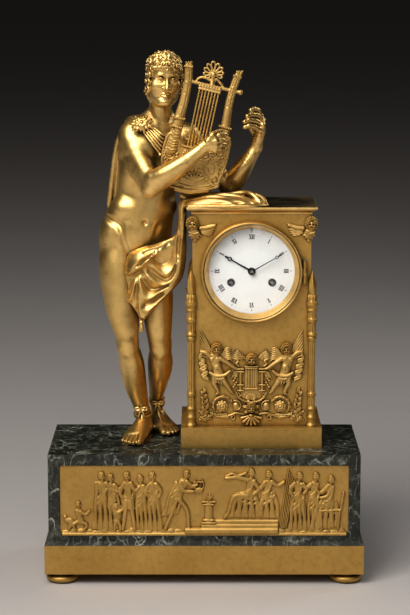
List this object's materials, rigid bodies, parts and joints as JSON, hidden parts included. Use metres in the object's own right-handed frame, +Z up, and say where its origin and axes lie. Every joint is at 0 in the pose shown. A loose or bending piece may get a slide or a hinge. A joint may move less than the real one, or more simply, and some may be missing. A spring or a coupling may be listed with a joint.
{
  "type": "mantel clock",
  "caption": "Gilt bronze mantel clock with a standing lyre player leaning on a pedestal case, on a veined green marble base with a relief frieze and bun feet.",
  "frame": {"origin": "middle of the footprint, on the surface that the clock stands on", "axes": "+Z up, the dial and frieze face -Y, +X to the viewer's right"},
  "size_m": [0.354, 0.159, 0.5877],
  "materials": {
    "gilt_bronze": "fire-gilt bronze, burnished and matt, worn to brown in the hollows",
    "green_marble": "polished dark green marble with pale veins",
    "brass": "polished brass",
    "steel": "polished steel",
    "blued_steel": "blued steel",
    "enamel": "white vitreous enamel with black numerals",
    "glass": "clear domed glass"
  },
  "bodies": {
    "case": {"foot_front_left": "gilt_bronze", "foot_rear_left": "gilt_bronze", "foot_front_right": "gilt_bronze", "foot_rear_right": "gilt_bronze", "plinth_band": "gilt_bronze", "frieze_panel": "gilt_bronze", "pedestal_plinth": "gilt_bronze", "case_front": "gilt_bronze", "case_back": "gilt_bronze", "case_left_side": "gilt_bronze", "case_right_side": "gilt_bronze", "case_cap": "gilt_bronze", "torch_front_left": "gilt_bronze", "torch_rear_left": "gilt_bronze", "torch_front_right": "gilt_bronze", "torch_rear_right": "gilt_bronze", "winged_bust_left": "gilt_bronze", "winged_bust_right": "gilt_bronze", "putto_left": "gilt_bronze", "putto_right": "gilt_bronze", "lyre_trophy": "gilt_bronze", "figure_body": "gilt_bronze", "figure_head": "gilt_bronze", "figure_right_arm": "gilt_bronze", "figure_left_arm": "gilt_bronze", "lyre": "gilt_bronze", "cloak": "gilt_bronze", "drapery": "gilt_bronze", "marble_block": "green_marble", "movement_ring": "brass", "front_plate": "brass", "back_plate": "brass", "suspension_cock": "brass", "bell": "brass", "bezel_hinge_pin": "steel", "back_door_hinge_pin": "steel", "dial": "enamel"},
    "minute_work": {"minute_hand": "blued_steel", "cannon_pinion": "steel", "centre_wheel": "brass"},
    "hour_work": {"hour_hand": "blued_steel", "hour_wheel": "brass"},
    "minute_wheel": {"minute_wheel": "brass"},
    "going_barrel": {"going_barrel": "brass", "going_mainspring": "steel"},
    "third_wheel": {"third_wheel": "brass"},
    "escape_wheel": {"escape_wheel": "brass"},
    "going_winding_arbor": {"going_winding_arbor": "steel"},
    "strike_winding_arbor": {"strike_winding_arbor": "steel"},
    "strike_barrel": {"strike_barrel": "brass", "strike_mainspring": "steel"},
    "count_wheel": {"count_wheel": "brass"},
    "pendulum": {"pendulum_rod": "steel", "pendulum_bob": "brass", "anchor_and_crutch": "steel"},
    "regulator_arbor": {"regulator_arbor": "steel"},
    "hammer": {"hammer": "steel"},
    "bezel": {"bezel": "gilt_bronze", "dial_glass": "glass"},
    "back_door": {"back_door": "gilt_bronze"}
  },
  "joints": [
    {"name": "minute_hand_turn", "type": "hinge", "parent": "case", "child": "minute_work", "pos_m": [0.0525, -0.034, 0.345], "axis": [0, 1, 0], "continuous": true},
    {"name": "hour_hand_turn", "type": "hinge", "parent": "case", "child": "hour_work", "pos_m": [0.0525, -0.034, 0.345], "axis": [0, 1, 0], "continuous": true},
    {"name": "minute_wheel_turn", "type": "hinge", "parent": "case", "child": "minute_wheel", "pos_m": [0.0525, -0.034, 0.3329], "axis": [0, 1, 0], "continuous": true},
    {"name": "going_barrel_turn", "type": "hinge", "parent": "case", "child": "going_barrel", "pos_m": [0.0752, -0.034, 0.3323], "axis": [0, 1, 0], "continuous": true},
    {"name": "third_wheel_turn", "type": "hinge", "parent": "case", "child": "third_wheel", "pos_m": [0.06643, -0.034, 0.35893], "axis": [0, 1, 0], "continuous": true},
    {"name": "escape_wheel_turn", "type": "hinge", "parent": "case", "child": "escape_wheel", "pos_m": [0.0525, -0.034, 0.36668], "axis": [0, 1, 0], "continuous": true},
    {"name": "going_winding", "type": "hinge", "parent": "case", "child": "going_winding_arbor", "pos_m": [0.0752, -0.034, 0.3323], "axis": [0, 1, 0], "continuous": true},
    {"name": "strike_winding", "type": "hinge", "parent": "case", "child": "strike_winding_arbor", "pos_m": [0.0298, -0.034, 0.3323], "axis": [0, 1, 0], "continuous": true},
    {"name": "strike_barrel_turn", "type": "hinge", "parent": "case", "child": "strike_barrel", "pos_m": [0.0298, -0.034, 0.3323], "axis": [0, 1, 0], "continuous": true},
    {"name": "count_wheel_turn", "type": "hinge", "parent": "case", "child": "count_wheel", "pos_m": [0.0298, -0.034, 0.3584], "axis": [0, 1, 0], "continuous": true},
    {"name": "pendulum_swing", "type": "hinge", "parent": "case", "child": "pendulum", "pos_m": [0.0525, -0.034, 0.3795], "axis": [0, 1, 0], "range_deg": [-4, 4]},
    {"name": "regulator_turn", "type": "hinge", "parent": "case", "child": "regulator_arbor", "pos_m": [0.0525, -0.034, 0.3905], "axis": [0, 1, 0], "range_deg": [-720, 720]},
    {"name": "hammer_lift", "type": "hinge", "parent": "case", "child": "hammer", "pos_m": [0.0385, -0.034, 0.305], "axis": [0, -1, 0], "range_deg": [0, 14]},
    {"name": "bezel_open", "type": "hinge", "parent": "case", "child": "bezel", "pos_m": [0.111, -0.04, 0.345], "axis": [0, 0, 1], "range_deg": [0, 100]},
    {"name": "back_door_open", "type": "hinge", "parent": "case", "child": "back_door", "pos_m": [0.1078, 0.0575, 0.2887], "axis": [0, 0, -1], "range_deg": [0, 110]}
  ],
  "couplings": [
    {"joint": "hour_hand_turn", "follows": "minute_hand_turn", "ratio": 0.083333},
    {"joint": "minute_wheel_turn", "follows": "minute_hand_turn", "ratio": -0.33333},
    {"joint": "going_barrel_turn", "follows": "minute_hand_turn", "ratio": -0.3},
    {"joint": "third_wheel_turn", "follows": "minute_hand_turn", "ratio": -6},
    {"joint": "escape_wheel_turn", "follows": "minute_hand_turn", "ratio": 42},
    {"joint": "count_wheel_turn", "follows": "strike_barrel_turn", "ratio": -3.3333}
  ]
}
